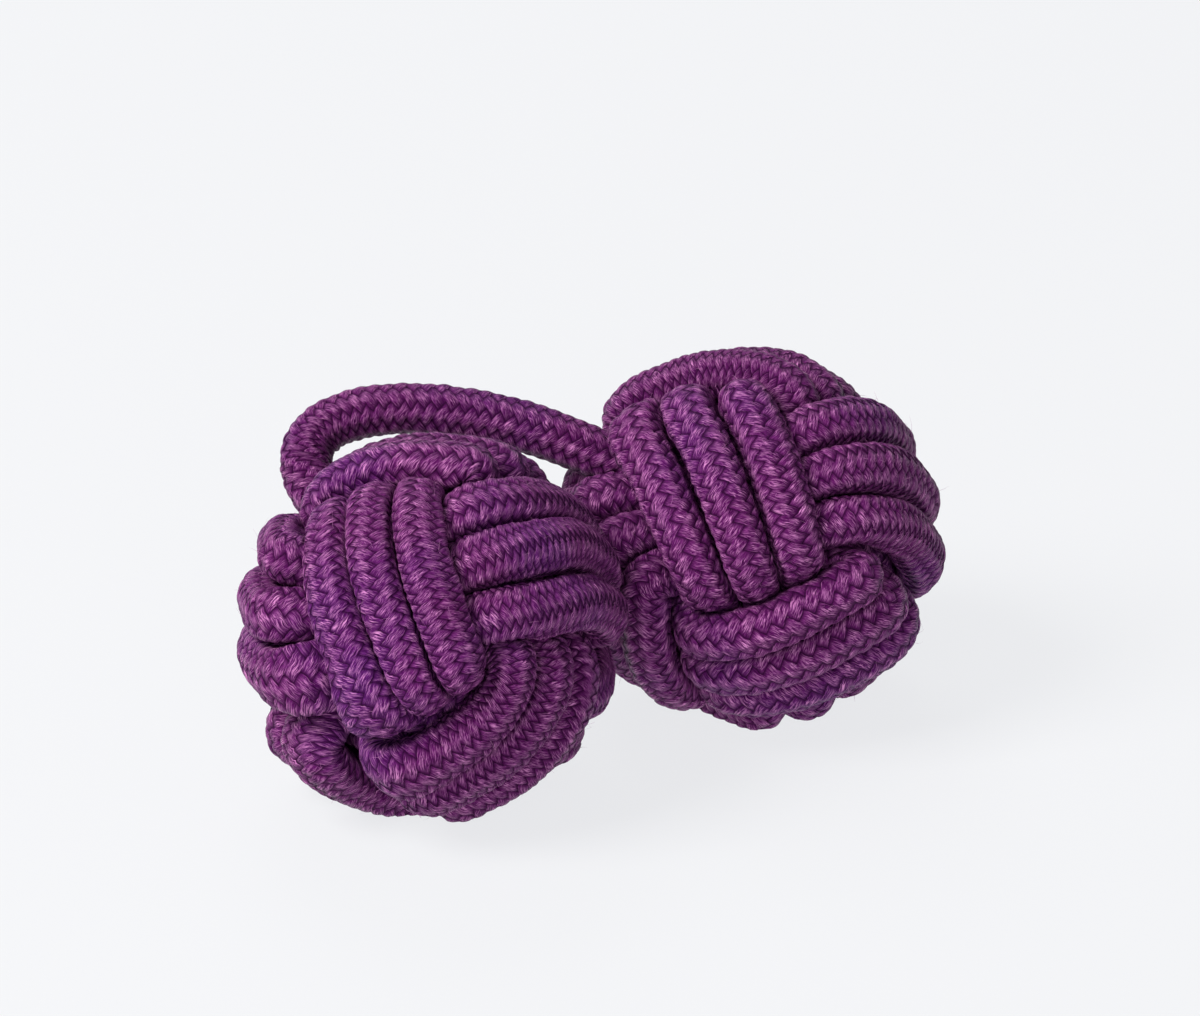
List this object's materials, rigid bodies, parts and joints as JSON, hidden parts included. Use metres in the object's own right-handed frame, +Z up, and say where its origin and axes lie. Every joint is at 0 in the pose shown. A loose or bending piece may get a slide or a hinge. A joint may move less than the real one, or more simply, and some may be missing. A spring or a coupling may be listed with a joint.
{
  "type": "silk knot cuff button",
  "caption": "Silk knot cuff button: ball knots of braided plum cord joined by a short bowed link cord, lying on a table.",
  "frame": {"origin": "on the table, below the middle of the pair of knots", "axes": "+X to the right along the pair, the longest extent; +Y to the back; +Z up, the shortest extent"},
  "size_m": [0.0244, 0.0203, 0.0126],
  "materials": {
    "near_knot_cord": "silky braided cord, satin",
    "far_knot_cord": "silky braided cord, satin",
    "link_cord": "silky braided cord, satin"
  },
  "bodies": {
    "root": {"near_knot_ply_a": "near_knot_cord", "near_knot_ply_b": "near_knot_cord", "near_knot_ply_c": "near_knot_cord", "far_knot_ply_a": "far_knot_cord", "far_knot_ply_b": "far_knot_cord", "far_knot_ply_c": "far_knot_cord", "link_cord": "link_cord"}
  },
  "joints": []
}
